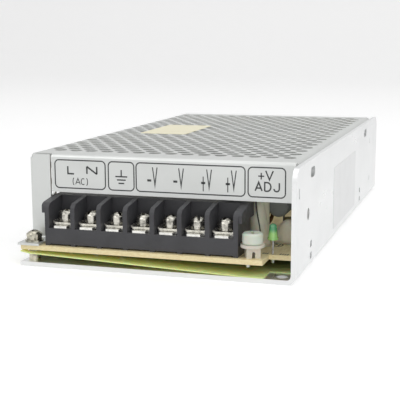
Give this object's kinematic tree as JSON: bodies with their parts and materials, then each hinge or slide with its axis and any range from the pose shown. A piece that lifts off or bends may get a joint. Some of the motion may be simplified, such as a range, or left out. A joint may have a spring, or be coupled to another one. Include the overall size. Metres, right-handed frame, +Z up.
{
  "type": "mesh case switching power supply",
  "caption": "Enclosed mains power supply: folded aluminium chassis, perforated cover, open-fronted barrier terminal block, voltage trimmer and indicator.",
  "frame": {"origin": "centre of the base of the overall box, on the underside of the chassis", "axes": "+Z up through the perforated top, terminals facing -Y, +X towards the solid right wall"},
  "size_m": [0.0981, 0.199, 0.0381],
  "materials": {
    "aluminium_sheet": "fine satin, as rolled",
    "plated_sheet": "zinc plated sheet, dull satin",
    "screw_steel": "zinc plated",
    "green_film": "thin translucent film",
    "phenolic_board": "phenolic paper laminate",
    "standoff_nickel": "turned and plated",
    "solder": "bright solder",
    "nickel_screw": "bright nickel plate",
    "block_plastic": "moulded, slight sheen",
    "cream_plastic": "moulded nylon",
    "pale_plastic": "moulded, pale green white",
    "green_lens": "cloudy green epoxy",
    "tinned_wire": "tinned",
    "yellow_paper": "blank gloss label",
    "pale_paper": "blank silver white label",
    "fuse_metal": "plated caps and clips",
    "dark_coating": "dipped coating",
    "yellow_plastic": "moulded box",
    "blue_coating": "dipped coating",
    "ferrite": "dull ferrite",
    "enamelled_wire": "enamelled copper",
    "black_epoxy": "moulded epoxy",
    "can_sleeve": "heat-shrunk sleeve",
    "yellow_tape": "polyester tape",
    "bar_aluminium": "extruded bar",
    "yellow_core": "painted powder core",
    "cream_sleeve": "cream sleeve",
    "contact_metal": "bright nickel plate",
    "silicone": "white silicone adhesive"
  },
  "bodies": {
    "base": {"chassis": "aluminium_sheet", "cover": "plated_sheet", "cover_screws": "screw_steel", "insulating_film": "green_film", "circuit_board": "phenolic_board", "board_standoffs": "standoff_nickel", "board_screws": "screw_steel", "solder_joints": "solder", "foot_screw": "nickel_screw", "foot_spring_washer": "nickel_screw", "foot_flat_washer": "nickel_screw", "terminal_block": "block_plastic", "trimmer_base": "cream_plastic", "led_lens": "green_lens", "led_leads": "tinned_wire", "top_sticker": "yellow_paper", "side_sticker": "pale_paper", "input_fuse": "fuse_metal", "thermistor": "dark_coating", "x_capacitor": "yellow_plastic", "y_capacitors": "blue_coating", "choke_core": "ferrite", "choke_windings": "enamelled_wire", "bridge_rectifier": "black_epoxy", "bulk_capacitor_1": "can_sleeve", "bulk_capacitor_2": "can_sleeve", "transformer_core": "ferrite", "transformer_winding": "yellow_tape", "switching_transistor": "black_epoxy", "output_rectifier": "black_epoxy", "heat_spreader": "bar_aluminium", "output_choke_core": "yellow_core", "output_choke_winding": "enamelled_wire", "output_capacitor_1": "can_sleeve", "output_capacitor_2": "can_sleeve", "control_chips": "black_epoxy", "sleeved_choke": "cream_sleeve", "adhesive": "silicone", "contact_plate_1": "contact_metal", "contact_plate_2": "contact_metal", "contact_plate_3": "contact_metal", "contact_plate_4": "contact_metal", "contact_plate_5": "contact_metal", "contact_plate_6": "contact_metal", "contact_plate_7": "contact_metal"},
    "clamp_1": {"clamp_washer_1": "nickel_screw"},
    "screw_1": {"terminal_screw_1": "nickel_screw"},
    "clamp_2": {"clamp_washer_2": "nickel_screw"},
    "screw_2": {"terminal_screw_2": "nickel_screw"},
    "clamp_3": {"clamp_washer_3": "nickel_screw"},
    "screw_3": {"terminal_screw_3": "nickel_screw"},
    "clamp_4": {"clamp_washer_4": "nickel_screw"},
    "screw_4": {"terminal_screw_4": "nickel_screw"},
    "clamp_5": {"clamp_washer_5": "nickel_screw"},
    "screw_5": {"terminal_screw_5": "nickel_screw"},
    "clamp_6": {"clamp_washer_6": "nickel_screw"},
    "screw_6": {"terminal_screw_6": "nickel_screw"},
    "clamp_7": {"clamp_washer_7": "nickel_screw"},
    "screw_7": {"terminal_screw_7": "nickel_screw"},
    "knob": {"trimmer_knob": "pale_plastic"}
  },
  "joints": [
    {"name": "clamp_1_lift", "type": "slide", "parent": "base", "child": "clamp_1", "axis": [0, 0, 1], "range_m": [0, 0.003]},
    {"name": "screw_1_turn", "type": "hinge", "parent": "clamp_1", "child": "screw_1", "pos_m": [-0.0338, -0.09125, 0.016], "axis": [0, 0, 1], "range_deg": [0, 1543]},
    {"name": "clamp_2_lift", "type": "slide", "parent": "base", "child": "clamp_2", "axis": [0, 0, 1], "range_m": [0, 0.003]},
    {"name": "screw_2_turn", "type": "hinge", "parent": "clamp_2", "child": "screw_2", "pos_m": [-0.0242, -0.09125, 0.016], "axis": [0, 0, 1], "range_deg": [0, 1543]},
    {"name": "clamp_3_lift", "type": "slide", "parent": "base", "child": "clamp_3", "axis": [0, 0, 1], "range_m": [0, 0.003]},
    {"name": "screw_3_turn", "type": "hinge", "parent": "clamp_3", "child": "screw_3", "pos_m": [-0.0146, -0.09125, 0.016], "axis": [0, 0, 1], "range_deg": [0, 1543]},
    {"name": "clamp_4_lift", "type": "slide", "parent": "base", "child": "clamp_4", "axis": [0, 0, 1], "range_m": [0, 0.003]},
    {"name": "screw_4_turn", "type": "hinge", "parent": "clamp_4", "child": "screw_4", "pos_m": [-0.005, -0.09125, 0.016], "axis": [0, 0, 1], "range_deg": [0, 1543]},
    {"name": "clamp_5_lift", "type": "slide", "parent": "base", "child": "clamp_5", "axis": [0, 0, 1], "range_m": [0, 0.003]},
    {"name": "screw_5_turn", "type": "hinge", "parent": "clamp_5", "child": "screw_5", "pos_m": [0.0046, -0.09125, 0.016], "axis": [0, 0, 1], "range_deg": [0, 1543]},
    {"name": "clamp_6_lift", "type": "slide", "parent": "base", "child": "clamp_6", "axis": [0, 0, 1], "range_m": [0, 0.003]},
    {"name": "screw_6_turn", "type": "hinge", "parent": "clamp_6", "child": "screw_6", "pos_m": [0.0142, -0.09125, 0.016], "axis": [0, 0, 1], "range_deg": [0, 1543]},
    {"name": "clamp_7_lift", "type": "slide", "parent": "base", "child": "clamp_7", "axis": [0, 0, 1], "range_m": [0, 0.003]},
    {"name": "screw_7_turn", "type": "hinge", "parent": "clamp_7", "child": "screw_7", "pos_m": [0.0238, -0.09125, 0.016], "axis": [0, 0, 1], "range_deg": [0, 1543]},
    {"name": "trimmer_turn", "type": "hinge", "parent": "base", "child": "knob", "pos_m": [0.0336, -0.0945, 0.013], "axis": [0, 0, 1], "range_deg": [-130, 130]}
  ],
  "couplings": [
    {"joint": "screw_1_turn", "follows": "clamp_1_lift", "rad_per_m": 8976},
    {"joint": "screw_2_turn", "follows": "clamp_2_lift", "rad_per_m": 8976},
    {"joint": "screw_3_turn", "follows": "clamp_3_lift", "rad_per_m": 8976},
    {"joint": "screw_4_turn", "follows": "clamp_4_lift", "rad_per_m": 8976},
    {"joint": "screw_5_turn", "follows": "clamp_5_lift", "rad_per_m": 8976},
    {"joint": "screw_6_turn", "follows": "clamp_6_lift", "rad_per_m": 8976},
    {"joint": "screw_7_turn", "follows": "clamp_7_lift", "rad_per_m": 8976}
  ]
}
